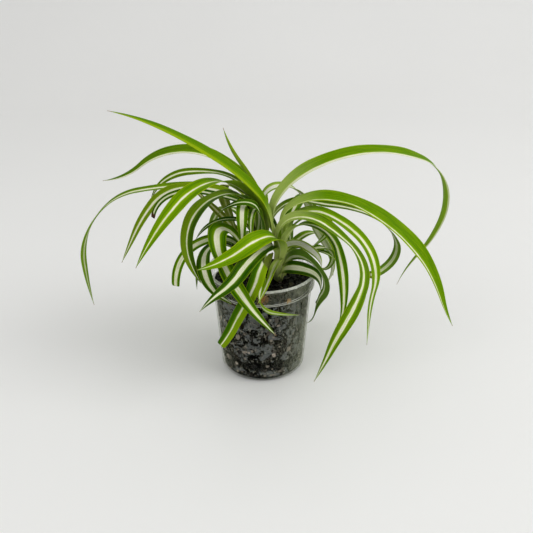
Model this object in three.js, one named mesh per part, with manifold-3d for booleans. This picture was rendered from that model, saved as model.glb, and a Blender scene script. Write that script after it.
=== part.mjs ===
// A striped spider plant that has outgrown a small clear nursery pot.
// Millimetres, +Z up. The origin is the middle of the pot's flat base. The plant is seen best from -Y.
import * as THREE from 'three';
import { mergeVertices } from 'three/addons/utils/BufferGeometryUtils.js';
import Module from 'manifold-3d';

const wasm = await Module();
wasm.setup();

// Driving dimensions of the pot
const POT_HEIGHT = 69;
const POT_BASE_RADIUS = 26.8;
const POT_EDGE_ROUND = 3.5;
const POT_EDGE_STEPS = 3;
const POT_FOOT_FLARE = 0.3;
const POT_LEDGE_HEIGHT = 57.5;
const POT_WALL_TOP_RADIUS = 31.2;
const POT_COLLAR_RADIUS = 32.9;
const POT_COLLAR_TOP_RADIUS = 33.4;
const POT_RIM_RADIUS = 34.2;
const POT_RIM_HEIGHT = 2.2;
const POT_RIM_ROUND = 0.6;
const POT_LEDGE_RISE = 1;
const POT_WALL = 1;
const POT_FLOOR = 1.4;
const POT_SIDES = 40;
const DRAIN_HOLES = 6;
const DRAIN_RADIUS = 3;
const DRAIN_CIRCLE = 16;
const DRAIN_SIDES = 12;

// Clear space that keeps two touching pieces apart
const GAP = 0.3;

// Driving dimensions of the soil
const SOIL_TOP = 60;
const SOIL_UNEVEN = 0.6;
const SOIL_WAVE_X = 20;
const SOIL_WAVE_Y = 23;
const SOIL_WAVE_ACROSS = 16;
const SOIL_RINGS = 6;
const SOIL_RIM_CLEAR = 0.4;

// Driving dimensions of the crowns
const CROWN_FOOT = 46;
const CROWN_RADIUS = 2.7;
const CROWN_RIB = 0.25;
const CROWN_SIDES = 12;
const CROWN_STRAIGHT_SHARE = 0.45;
const CROWN_NARROW_SHARE = 0.8;
const CROWN_TIP_ROUND = 1.5;
const CROWN_TIP_FLAT_SHARE = 0.6;

// Where each crown stands: x, y, the height of its top and its radius there
const CROWNS = {
  main: { x: 10, y: 0, top: 95, tip: 1.6 },
  left: { x: 0, y: 9, top: 94, tip: 2.4 },
  fore: { x: -1.5, y: -0.5, top: 88, tip: 1.6 },
  low: { x: 0, y: -12.5, top: 74, tip: 1.6 },
  back: { x: 12, y: 12, top: 86, tip: 2.4 },
};

// Driving dimensions that all leaves share
const LEAF_THICKNESS = 0.7;
const LEAF_ROOT_OFFSET = 3.9;
const LEAF_STEPS = 16;
const SPINE_STEPS = 48;
const LEAF_ROOT_SHARE = 0.38;
const LEAF_FULL_AT = 0.28;
const LEAF_TAPER_FROM = 0.5;
const LEAF_TAPER_POWER = 1.7;
const LEAF_CUT_SHARE = 0.35;
const LEAF_NARROWEST = 0.7;
const LEAF_FOLD_ROOT = 0.3;
const LEAF_FOLD_TIP = 0.06;
const LEAF_FOLD_POWER = 1.2;

// Colours
const SKIN = {
  bright: 0x6f9a26,
  mid: 0x4c7a20,
  dark: 0x325a18,
  pale: 0x9cb06c,
  olive: 0x6c7834,
};

// Every leaf: the crown it grows on, the side it leaves by, how high, its size, and how it bends on its
// way. Angles are in degrees. A rise is above the horizon, a turn is counted from +X towards +Y, and a
// roll tips the blade about its own middle line. A leaf with an out of its own starts nearer its crown.
const LEAVES = [
  {
    name: 'leaf_long_upper_left', on: 'main', side: 180, up: 93.5, length: 127, width: 7.5,
    rise: [85, 50, 35, 25, 10], turn: [225, 180, 175], roll: [-60, -20, -15],
    tone: 'bright',
  },
  {
    name: 'leaf_back_left_arch', on: 'left', side: 90, up: 92, length: 143, width: 8,
    rise: [85, 30, 20, -10, -40, -5], turn: [110, 165, 180], roll: [5, -30, -50],
    tone: 'mid',
  },
  {
    name: 'leaf_upright_thin', on: 'main', side: 150, up: 95, length: 67, width: 4.5,
    rise: [70, 65, 55, 75], turn: [165, 170, 170], roll: [85, 55, 70],
    tone: 'bright',
  },
  {
    name: 'leaf_left_curling', on: 'left', side: 100, up: 90, length: 101, width: 7,
    rise: [40, 55, 30, 5, 0, -30, -75], turn: [100, 155, 190, 215], roll: [25, -5, -80],
    tone: 'dark',
  },
  {
    name: 'leaf_far_left', on: 'left', side: 150, up: 83, length: 186, width: 8,
    rise: [90, 25, 0, -5, -50, -90, -100], turn: [135, 185, 205, 165], roll: [-10, -5, 75],
    tone: 'mid',
  },
  {
    name: 'leaf_left_brown_tip', on: 'left', side: 210, up: 80, length: 93, width: 6,
    rise: [80, 80, 20, 15, -15, -80], turn: [180, 190, 200], roll: [-15, -15, -20],
    tone: 'dark', cut: true,
  },
  {
    name: 'leaf_left_middle', on: 'left', side: 155, up: 86, length: 123, width: 9,
    rise: [90, 45, 15, 0, -45, -60, -60], turn: [155, 185, 205, 210], roll: [-25, -15, -45],
    tone: 'dark',
  },
  {
    name: 'leaf_broad_left', on: 'fore', side: 50, up: 85, length: 130, width: 11,
    rise: [110, 60, 40, -5, -35, -50, -60], turn: [175, 210, 220, 205], roll: [0, 30, -35, -70],
    tone: 'bright',
  },
  {
    name: 'leaf_left_hooked', on: 'left', side: 295, up: 93.5, length: 82, width: 8,
    rise: [70, 45, 25, -20, -135, -155, -140], turn: [145, 140, 115, 105], roll: [20, 5, -5],
    tone: 'olive',
  },
  {
    name: 'leaf_left_back_straight', on: 'left', side: 165, up: 74, length: 62, width: 6,
    rise: [20, 35, 40, 45], turn: [130, 150, 175], roll: [-10, -15, -30],
    tone: 'olive',
  },
  {
    name: 'leaf_left_loop', on: 'fore', side: 115, up: 85.5, length: 121, width: 12,
    rise: [110, 65, 25, -15, -70, -105, -120], turn: [210, 225, 210, 230], roll: [0, 5, -65],
    tone: 'dark',
  },
  {
    name: 'leaf_thin_loop', on: 'fore', side: 295, up: 81.5, length: 67, width: 4.5,
    rise: [70, 85, 55, -25, -55], turn: [280, 230, 120], roll: [25, -65, 0],
    tone: 'dark',
  },
  {
    name: 'leaf_low_dark_arch', on: 'fore', side: 120, up: 75.5, length: 58, width: 5.5,
    rise: [70, 75, 10, -15, -40], turn: [135, 190, 235], roll: [45, -10, -5],
    tone: 'dark',
  },
  {
    name: 'leaf_hanging_left', on: 'fore', side: 190, up: 78, length: 70, width: 8.5,
    rise: [75, 85, 80, 60, -65, -90, -130], turn: [220, 250, 295], roll: [-35, -60, 45],
    tone: 'mid',
  },
  {
    name: 'leaf_hanging_left_thin', on: 'fore', side: 240, up: 82.5, length: 64, width: 5,
    rise: [70, 115, 90, 5, -35, -130, -130], turn: [195, 255, 280], roll: [5, 10, 80],
    tone: 'mid',
  },
  {
    name: 'leaf_old_sheath', on: 'fore', side: 300, up: 64, length: 17, width: 9,
    rise: [70, 75], turn: [350, 350], roll: [-30, -30],
    tone: 'olive', cut: true,
  },
  {
    name: 'leaf_looped_across_pot', on: 'fore', side: 240, up: 73.5, length: 113, width: 11,
    rise: [35, 70, 35, -65, -50, -30, -40, -50],
    turn: [-165, -155, -45, -50, -5], roll: [-15, -25, 15, 75],
    tone: 'mid',
  },
  {
    name: 'leaf_left_pot_side', on: 'fore', side: 185, up: 68.5, length: 88, width: 9,
    rise: [40, 60, 15, -30, -50, -30, -45], turn: [-155, -155, -60, 30], roll: [-30, 25, -5],
    tone: 'dark',
  },
  {
    name: 'leaf_cut_left', on: 'fore', side: 185, up: 70, length: 75, width: 8,
    rise: [60, 55, 10, -25, -60, -90], turn: [190, 195, 200, 225], roll: [-20, -15, -20],
    tone: 'mid', cut: true,
  },
  {
    name: 'leaf_bright_front', on: 'main', side: 285, up: 76.5, length: 79, width: 11,
    rise: [70, 55, 5, -20, -10, 5], turn: [280, 225, 215, 215], roll: [-30, -15, -70, -35],
    tone: 'bright',
  },
  {
    name: 'leaf_dark_front', on: 'main', side: 240, up: 78, length: 82, width: 10,
    rise: [85, 10, -5, -30, -15, -40], turn: [255, 240, 230, 210], roll: [-50, -5, -40, -30],
    tone: 'mid',
  },
  {
    name: 'leaf_cut_front', on: 'low', side: 210, up: 67.5, length: 81, width: 8.5,
    rise: [70, 50, -65, -55, -65, -55], turn: [320, 215, 170], roll: [-95, -25, -70],
    tone: 'bright', cut: true,
  },
  {
    name: 'leaf_young_front', on: 'main', side: 295, up: 75.5, length: 47, width: 6,
    rise: [15, -10, 15, -35, -40], turn: [245, 265, 225], roll: [0, 40, 25],
    tone: 'bright',
  },
  {
    name: 'leaf_small_front', on: 'low', side: 260, up: 63.5, length: 63, width: 4.5,
    rise: [90, 55, -20, -55, -30, -10, 5], turn: [-85, -85, -110, 15, -10], roll: [-5, -65, -75],
    tone: 'bright',
  },
  {
    name: 'leaf_low_right_strand', on: 'main', side: 10, up: 67, length: 83, width: 7,
    rise: [90, 30, -10, -55, -120, -100, -145], turn: [-40, -50, -15, -65], roll: [-110, -60, -30],
    tone: 'dark',
  },
  {
    name: 'leaf_wide_over_rim', on: 'main', side: 310, up: 67, length: 48, width: 9,
    rise: [50, 25, 0, -25, -75, -90, -130], turn: [-65, -5, 30], roll: [60, 20, 15],
    tone: 'dark', cut: true,
  },
  {
    name: 'leaf_pale_underside', on: 'back', side: 265, up: 72.5, length: 43, width: 6.5,
    rise: [100, 25, -35, -50, -85], turn: [-20, 5, 25], roll: [105, 110, 100],
    tone: 'pale',
  },
  {
    name: 'leaf_ring_curl', on: 'back', side: 315, up: 67.5, length: 66, width: 6.5,
    rise: [110, 20, -25, -5, -25, -65, -150, -250], turn: [10, 40, 35], roll: [-45, 15, -75],
    tone: 'mid',
  },
  {
    name: 'leaf_right_folded_back', on: 'back', side: 0, up: 81.5, length: 61, width: 6,
    rise: [85, 45, 10, -15, -90, -150, -170], turn: [15, 20, 25, 40], roll: [-20, -40, -5],
    tone: 'mid',
  },
  {
    name: 'leaf_high_right', on: 'main', side: 110, up: 89, length: 234, width: 9,
    rise: [115, 60, 25, 5, -10, -25, -70, -110, -130, -110],
    turn: [-10, 20, 15, 5], roll: [45, 25, 20, -10, -5],
    tone: 'bright',
  },
  {
    name: 'leaf_broad_right', on: 'main', side: 60, up: 93, length: 162, width: 11,
    rise: [95, 30, -5, -25, -35, -45, -60, -70, -60],
    turn: [-10, 0, -15, -30], roll: [15, 15, 40, 30],
    tone: 'bright',
  },
  {
    name: 'leaf_right_hook', on: 'left', side: 0, up: 87, length: 144, width: 7.5,
    rise: [90, 35, -15, -10, -20, -40, -65, -145, -195],
    turn: [35, 5, 10, 40], roll: [-10, 15, 5, -55],
    tone: 'dark', cut: true,
  },
  {
    name: 'leaf_right_hanging', on: 'main', side: 10, up: 84.5, length: 142, width: 9,
    rise: [100, 40, -20, -40, -70, -100, -90, -90],
    turn: [-15, -15, -15, 5], roll: [25, 10, 35, 35],
    tone: 'bright',
  },
  {
    name: 'leaf_twisted_front_right', on: 'main', side: 255, up: 89, length: 149, width: 11,
    rise: [85, 25, -25, -40, -45, -50, -65, -60],
    turn: [-40, -30, -25, -120, -155, -160], roll: [60, 10, -10, -75, -40, -25],
    tone: 'mid',
  },
  {
    name: 'leaf_right_drooping', on: 'main', side: 310, up: 83.5, length: 104, width: 8.5,
    rise: [75, 45, -20, -70, -80, -90, -110], turn: [-50, -20, -35, -30], roll: [-20, 10, 70],
    tone: 'mid',
  },
  {
    name: 'leaf_back_right_pale', on: 'back', side: 125, up: 84, length: 130, width: 8.5,
    rise: [115, 120, 5, -55, -75, -55, -75, -140], turn: [-45, 20, 15, 25], roll: [55, -25, -55],
    tone: 'pale',
  },
  {
    name: 'leaf_back_1', on: 'left', side: 120, out: 3.3, up: 80.5, length: 102, width: 8,
    rise: [35, 10, -25, -60, -80], turn: [120, 120, 130], roll: [-10, 15, 0],
    tone: 'mid',
  },
  {
    name: 'leaf_back_2', on: 'left', side: 80, out: 3.3, up: 84, length: 112, width: 9,
    rise: [45, 10, -20, -60, -80], turn: [90, 95, 95], roll: [-15, -5, 5],
    tone: 'bright',
  },
  {
    name: 'leaf_back_3', on: 'back', side: 65, out: 3.3, up: 81.5, length: 104, width: 8,
    rise: [40, 15, -20, -60, -80], turn: [70, 70, 65], roll: [15, 10, 10],
    tone: 'mid',
  },
  {
    name: 'leaf_back_4', on: 'back', side: 95, out: 3.3, up: 74, length: 88, width: 7,
    rise: [30, 5, -30, -70, -80], turn: [85, 80, 75], roll: [5, -5, -10],
    tone: 'dark',
  },
  {
    name: 'leaf_back_5', on: 'left', side: 130, out: 3.3, up: 70, length: 84, width: 7.5,
    rise: [20, 0, -40, -70, -90], turn: [150, 140, 140], roll: [0, 15, -10],
    tone: 'dark',
  },
  {
    name: 'leaf_back_6', on: 'back', side: 15, out: 3.3, up: 69.5, length: 62, width: 6.5,
    rise: [20, -5, -35, -70, -95], turn: [20, 15, 20], roll: [-15, 5, -10],
    tone: 'mid',
  },
  {
    name: 'leaf_back_7', on: 'left', side: 95, out: 3.3, up: 72, length: 82, width: 7,
    rise: [25, 0, -40, -75, -95], turn: [100, 110, 105], roll: [5, 5, -15],
    tone: 'mid',
  },
  {
    name: 'leaf_back_8', on: 'back', side: 30, out: 3.5, up: 71.5, length: 86, width: 7.5,
    rise: [25, 0, -35, -70, -90], turn: [55, 50, 45], roll: [5, -5, -30],
    tone: 'bright',
  },
  {
    name: 'leaf_back_9', on: 'back', side: 115, out: 3.3, up: 80, length: 84, width: 7,
    rise: [35, 5, -35, -70, -90], turn: [110, 105, 105], roll: [-10, 10, 25],
    tone: 'dark',
  },
];

const degrees = THREE.MathUtils.degToRad;

// Value at share s (0 to 1) of a list of evenly spaced values, in straight steps between them.
function along(values, s) {
  const place = s * (values.length - 1);
  const i = Math.min(Math.floor(place), values.length - 2);
  return values[i] + (values[i + 1] - values[i]) * (place - i);
}

// Closed mesh as a solid for a cut.
function solidOf(geometry) {
  const bare = geometry.clone();
  bare.deleteAttribute('normal');
  bare.deleteAttribute('uv');
  const merged = mergeVertices(bare, 1e-4);
  return new wasm.Manifold(new wasm.Mesh({
    numProp: 3,
    vertProperties: merged.attributes.position.array,
    triVerts: new Uint32Array(merged.index.array),
  }));
}

// Cut solid as a mesh geometry again.
function geometryOf(solid) {
  const mesh = solid.getMesh();
  const geometry = new THREE.BufferGeometry();
  geometry.setAttribute('position', new THREE.BufferAttribute(mesh.vertProperties, 3));
  geometry.setIndex(new THREE.BufferAttribute(mesh.triVerts, 1));
  return geometry;
}

// Upright round cutter.
function post(radius, x, y, from, to, sides) {
  const geometry = new THREE.CylinderGeometry(radius, radius, to - from, sides);
  geometry.rotateX(Math.PI / 2);
  geometry.translate(x, y, (from + to) / 2);
  return solidOf(geometry);
}

// Solid of revolution about +Z. The profile runs as [radius, height] points from axis to axis.
function turned(profile, sides) {
  const points = profile.map(([radius, height]) => new THREE.Vector2(radius, height));
  return new THREE.LatheGeometry(points, sides).rotateX(Math.PI / 2);
}

// Radius of the pot's outside between its rounded edge and the ledge.
function wallRadius(height) {
  const share = (height - POT_EDGE_ROUND) / (POT_LEDGE_HEIGHT - POT_EDGE_ROUND);
  const foot = POT_BASE_RADIUS + POT_FOOT_FLARE;
  return foot + (POT_WALL_TOP_RADIUS - foot) * share;
}

// Thin pot: rounded bottom edge, tapering wall, ledge, collar and rolled rim, with drain holes.
function potGeometry() {
  const inside = wallRadius(POT_EDGE_ROUND) - POT_EDGE_ROUND;
  const edge = [];
  for (let k = 0; k <= POT_EDGE_STEPS; k++) {
    const turn = degrees((90 * k) / POT_EDGE_STEPS);
    edge.push([inside + POT_EDGE_ROUND * Math.sin(turn), POT_EDGE_ROUND * (1 - Math.cos(turn))]);
  }
  const rimFoot = POT_HEIGHT - POT_RIM_HEIGHT;
  const rimSide = POT_HEIGHT - POT_RIM_ROUND;
  const collarInside = POT_COLLAR_TOP_RADIUS - POT_WALL;
  const profile = [
    [0, 0],
    ...edge,
    [POT_WALL_TOP_RADIUS, POT_LEDGE_HEIGHT],
    [POT_COLLAR_RADIUS, POT_LEDGE_HEIGHT + POT_LEDGE_RISE],
    [POT_COLLAR_TOP_RADIUS, rimFoot],
    [POT_RIM_RADIUS, rimFoot + POT_RIM_ROUND],
    [POT_RIM_RADIUS, rimSide],
    [POT_RIM_RADIUS - POT_RIM_ROUND, POT_HEIGHT],
    [collarInside, POT_HEIGHT],
    [collarInside - POT_RIM_ROUND / 2, rimSide],
    [POT_COLLAR_RADIUS - POT_WALL, POT_LEDGE_HEIGHT + POT_LEDGE_RISE + POT_RIM_ROUND],
    [POT_WALL_TOP_RADIUS - POT_WALL, POT_LEDGE_HEIGHT],
    [wallRadius(POT_EDGE_ROUND) - POT_WALL, POT_EDGE_ROUND],
    [inside, POT_FLOOR],
    [0, POT_FLOOR],
  ];
  let pot = solidOf(turned(profile, POT_SIDES));
  for (let i = 0; i < DRAIN_HOLES; i++) {
    const turn = (2 * Math.PI * i) / DRAIN_HOLES;
    const x = DRAIN_CIRCLE * Math.cos(turn);
    const y = DRAIN_CIRCLE * Math.sin(turn);
    pot = pot.subtract(post(DRAIN_RADIUS, x, y, -POT_FLOOR, 2 * POT_FLOOR, DRAIN_SIDES));
  }
  return geometryOf(pot);
}

// Height of the soil's uneven top above its level: three waves that cross each other.
function soilBump(x, y) {
  const wave = (length, way) => Math.sin((2 * Math.PI * way) / length);
  const crossed = wave(SOIL_WAVE_X, x) * wave(SOIL_WAVE_Y, y + SOIL_WAVE_Y / 4);
  return SOIL_UNEVEN * (crossed + wave(SOIL_WAVE_ACROSS, (x + y) / Math.SQRT2) / 2);
}

// Soil plug that fills the pot, with a plain hole round each crown's foot.
function soilGeometry() {
  const inside = wallRadius(POT_EDGE_ROUND) - POT_EDGE_ROUND;
  const top = POT_COLLAR_RADIUS - POT_WALL - GAP;
  const profile = [
    [0, POT_FLOOR + GAP],
    [inside - GAP, POT_FLOOR + GAP],
    [wallRadius(POT_EDGE_ROUND) - POT_WALL - GAP, POT_EDGE_ROUND + GAP],
    [POT_WALL_TOP_RADIUS - POT_WALL - GAP, POT_LEDGE_HEIGHT],
    [top, POT_LEDGE_HEIGHT + 2 * POT_LEDGE_RISE],
  ];
  for (let i = 0; i < SOIL_RINGS; i++) {
    profile.push([top * (1 - i / SOIL_RINGS) - SOIL_RIM_CLEAR, SOIL_TOP]);
  }
  profile.push([0, SOIL_TOP]);
  const plug = turned(profile, POT_SIDES);
  const spots = plug.attributes.position;
  for (let i = 0; i < spots.count; i++) {
    if (spots.getZ(i) < SOIL_TOP - GAP) continue;
    spots.setZ(i, SOIL_TOP + soilBump(spots.getX(i), spots.getY(i)));
  }
  let soil = solidOf(plug);
  const hole = CROWN_RADIUS + CROWN_RIB + GAP;
  for (const crown of Object.values(CROWNS)) {
    soil = soil.subtract(post(hole, crown.x, crown.y, CROWN_FOOT - GAP, crown.top, CROWN_SIDES));
  }
  return geometryOf(soil);
}

// Crown: a short stem of clasping leaf bases, ribbed all round, that narrows to a rounded top.
function crownGeometry(crown) {
  const height = crown.top - CROWN_FOOT;
  const profile = [
    [0, 0],
    [CROWN_RADIUS, 0],
    [CROWN_RADIUS, height * CROWN_STRAIGHT_SHARE],
    [(CROWN_RADIUS + crown.tip) / 2, height * CROWN_NARROW_SHARE],
    [crown.tip, height - CROWN_TIP_ROUND],
    [crown.tip * CROWN_TIP_FLAT_SHARE, height - GAP],
    [0, height],
  ];
  const stem = turned(profile, CROWN_SIDES);
  const spots = stem.attributes.position;
  for (let i = 0; i < spots.count; i++) {
    const x = spots.getX(i);
    const y = spots.getY(i);
    const out = Math.hypot(x, y);
    if (out < CROWN_RIB) continue;
    const rib = 1 + (CROWN_RIB / out) * Math.cos((CROWN_SIDES / 2) * Math.atan2(y, x));
    spots.setXY(i, x * rib, y * rib);
  }
  return geometryOf(solidOf(stem));
}

// Middle line of a leaf: points, sideways and upward directions at evenly spaced stations. The line
// starts at the crown and turns and bends by the leaf's own lists; its rise is above the horizon.
function spine(leaf) {
  const crown = CROWNS[leaf.on];
  const side = degrees(leaf.side);
  const out = leaf.out ?? LEAF_ROOT_OFFSET;
  const step = leaf.length / SPINE_STEPS;
  const here = new THREE.Vector3(
    crown.x + out * Math.cos(side),
    crown.y + out * Math.sin(side),
    leaf.up,
  );
  const ahead = (s) => {
    const rise = degrees(along(leaf.rise, s));
    const turn = degrees(along(leaf.turn, s));
    return new THREE.Vector3(
      Math.cos(rise) * Math.cos(turn),
      Math.cos(rise) * Math.sin(turn),
      Math.sin(rise),
    );
  };
  const stations = [];
  for (let i = 0; i <= SPINE_STEPS; i++) {
    const s = i / SPINE_STEPS;
    if (i > 0) here.addScaledVector(ahead(s - 0.5 / SPINE_STEPS), step);
    if (i % (SPINE_STEPS / LEAF_STEPS)) continue;
    const turn = degrees(along(leaf.turn, s));
    const roll = degrees(along(leaf.roll, s));
    const level = new THREE.Vector3(-Math.sin(turn), Math.cos(turn), 0);
    const raised = new THREE.Vector3().crossVectors(ahead(s), level);
    const across = level.multiplyScalar(Math.cos(roll)).addScaledVector(raised, Math.sin(roll));
    const up = new THREE.Vector3().crossVectors(ahead(s), across);
    stations.push({ s, at: here.clone(), across, up });
  }
  return stations;
}

// Width of a leaf at share s of its length: narrow root, full middle, pointed or cut end.
function leafWidth(leaf, s) {
  const young = Math.max(0, 1 - s / LEAF_FULL_AT);
  const grown = 1 - (1 - LEAF_ROOT_SHARE) * young ** 2;
  const q = Math.max(0, (s - LEAF_TAPER_FROM) / (1 - LEAF_TAPER_FROM));
  const taper = leaf.cut ? 1 - LEAF_CUT_SHARE * q ** 2 : 1 - q ** LEAF_TAPER_POWER;
  return Math.max(leaf.width * grown * taper, LEAF_NARROWEST);
}

// Leaf blade: a ribbon with its margins raised from the midrib, most of all at the root. Each ring has
// three corners on the upper face and three below them, and both faces are split alike.
function leafGeometry(leaf) {
  const corners = [];
  const put = (station, half, lift) => {
    const p = station.at.clone().addScaledVector(station.across, half).addScaledVector(station.up, lift);
    corners.push(p.x, p.y, p.z);
  };
  for (const station of spine(leaf)) {
    const half = leafWidth(leaf, station.s) / 2;
    const fold = LEAF_FOLD_ROOT * (1 - station.s) ** LEAF_FOLD_POWER + LEAF_FOLD_TIP;
    const skin = LEAF_THICKNESS / 2;
    put(station, -half, fold * half + skin);
    put(station, 0, skin);
    put(station, half, fold * half + skin);
    put(station, half, fold * half - skin);
    put(station, 0, -skin);
    put(station, -half, fold * half - skin);
  }
  const faces = [];
  for (let i = 0; i < LEAF_STEPS; i++) {
    const a = 6 * i;
    const b = a + 6;
    for (const [p, q] of [[0, 1], [1, 2], [2, 3], [5, 0]]) {
      faces.push(a + p, b + p, a + q, a + q, b + p, b + q);
    }
    for (const [p, q] of [[5, 4], [4, 3]]) {
      faces.push(a + p, a + q, b + p, a + q, b + q, b + p);
    }
  }
  const end = 6 * LEAF_STEPS;
  faces.push(0, 4, 5, 0, 1, 4, 1, 3, 4, 1, 2, 3);
  faces.push(end, end + 5, end + 4, end, end + 4, end + 1);
  faces.push(end + 1, end + 4, end + 3, end + 1, end + 3, end + 2);
  const geometry = new THREE.BufferGeometry();
  geometry.setAttribute('position', new THREE.Float32BufferAttribute(corners, 3));
  geometry.setIndex(faces);
  return geometry;
}

const plant = new THREE.Group();

function addPiece(name, geometry, color, roughness, more = {}) {
  const material = new THREE.MeshStandardMaterial({ color, roughness, metalness: 0, ...more });
  const mesh = new THREE.Mesh(geometry, material);
  mesh.name = name;
  plant.add(mesh);
  return mesh;
}

addPiece('pot', potGeometry(), 0xaab0ac, 0.3, { transparent: true, opacity: 0.4 });
addPiece('soil', soilGeometry(), 0x241d18, 0.95);
for (const [name, crown] of Object.entries(CROWNS)) {
  const stem = addPiece(`crown_${name}`, crownGeometry(crown), 0xb9bb84, 0.6);
  stem.position.set(crown.x, crown.y, CROWN_FOOT);
}
for (const leaf of LEAVES) {
  addPiece(leaf.name, leafGeometry(leaf), SKIN[leaf.tone], 0.45);
}

export default plant;
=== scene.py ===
import math

import bpy
import numpy as np
from mathutils import Matrix


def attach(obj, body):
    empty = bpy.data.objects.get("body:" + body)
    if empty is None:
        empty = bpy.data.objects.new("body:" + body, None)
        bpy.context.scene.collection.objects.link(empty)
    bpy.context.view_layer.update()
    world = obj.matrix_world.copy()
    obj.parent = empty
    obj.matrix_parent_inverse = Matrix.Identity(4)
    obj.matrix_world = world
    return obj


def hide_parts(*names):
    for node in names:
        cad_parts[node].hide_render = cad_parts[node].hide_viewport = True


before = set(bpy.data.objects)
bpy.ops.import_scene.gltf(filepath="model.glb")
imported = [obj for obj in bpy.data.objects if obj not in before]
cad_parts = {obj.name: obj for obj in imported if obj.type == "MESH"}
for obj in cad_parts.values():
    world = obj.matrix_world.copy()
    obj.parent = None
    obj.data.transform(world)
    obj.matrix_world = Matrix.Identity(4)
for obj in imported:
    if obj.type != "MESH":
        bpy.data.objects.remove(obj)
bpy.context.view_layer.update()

# Camera: it stands 38 cm in front of the pot and 26 cm above the table, and looks down on the
# plant with the slight tilt of a hand-held picture.
CAMERA_AT = (0.0027, -0.3825, 0.2596)
LOOKS_DOWN = math.radians(26.5)
HELD_TILTED = math.radians(0.355)
SENSOR_WIDTH = 36
LENS = 46.15
NEAREST_SEEN = 0.01


def standing(own_x, own_y, own_z, at):
    """The matrix of a thing at a place, from the ways in which its own axes point."""
    return Matrix([[own_x[i], own_y[i], own_z[i], at[i]] for i in range(3)] + [[0, 0, 0, 1]])


forward = np.array([0, math.cos(LOOKS_DOWN), -math.sin(LOOKS_DOWN)])
level_right = np.array([1.0, 0, 0])
level_up = np.cross(level_right, forward)
right = math.cos(HELD_TILTED) * level_right - math.sin(HELD_TILTED) * level_up
upward = math.cos(HELD_TILTED) * level_up + math.sin(HELD_TILTED) * level_right
camera = bpy.data.objects.new("camera", bpy.data.cameras.new("camera"))
camera.data.sensor_width = SENSOR_WIDTH
camera.data.lens = LENS
camera.data.clip_start = NEAREST_SEEN
camera.matrix_world = standing(right, upward, -forward, CAMERA_AT)
bpy.context.scene.collection.objects.link(camera)
bpy.context.scene.camera = camera
bpy.context.scene.view_settings.view_transform = "Standard"

# Nursery pot: one thin skin of clear plastic, drawn into a mould. The wall tapers to a rounded
# foot, steps out at a ledge into a collar, and ends in a rolled rim. Six drain holes are
# punched in the floor. Meshes are worked out in millimetres, materials in metres.
MM = 0.001
POT_HEIGHT = 69
FOOT_RADIUS = 27.1
FOOT_ROUND = 3.5
LEDGE_HEIGHT = 57.5
LEDGE_RADIUS = 31.2
COLLAR_RADIUS = 32.9
COLLAR_TOP_RADIUS = 33.4
RIM_RADIUS = 34.2
RIM_FOOT = 66.8
RIM_ROUND = 0.75
RIM_FOOT_ROUND = 0.4
EDGE_ROUND = 0.5
WALL = 0.9
FLOOR = 1.4
POT_SIDES = 160
HOLES = 6
HOLE_CIRCLE = 16
HOLE_RADIUS = 3
HOLE_SIDES = 24
TINY = 1e-6


def colour(red, green, blue):
    """The linear value of a colour given as it shows on a screen, 0 to 255 a channel."""
    shown = np.array([red, green, blue]) / 255
    linear = np.where(shown < 0.04045, shown / 12.92, ((shown + 0.055) / 1.055) ** 2.4)
    return (*linear.tolist(), 1.0)


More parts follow.
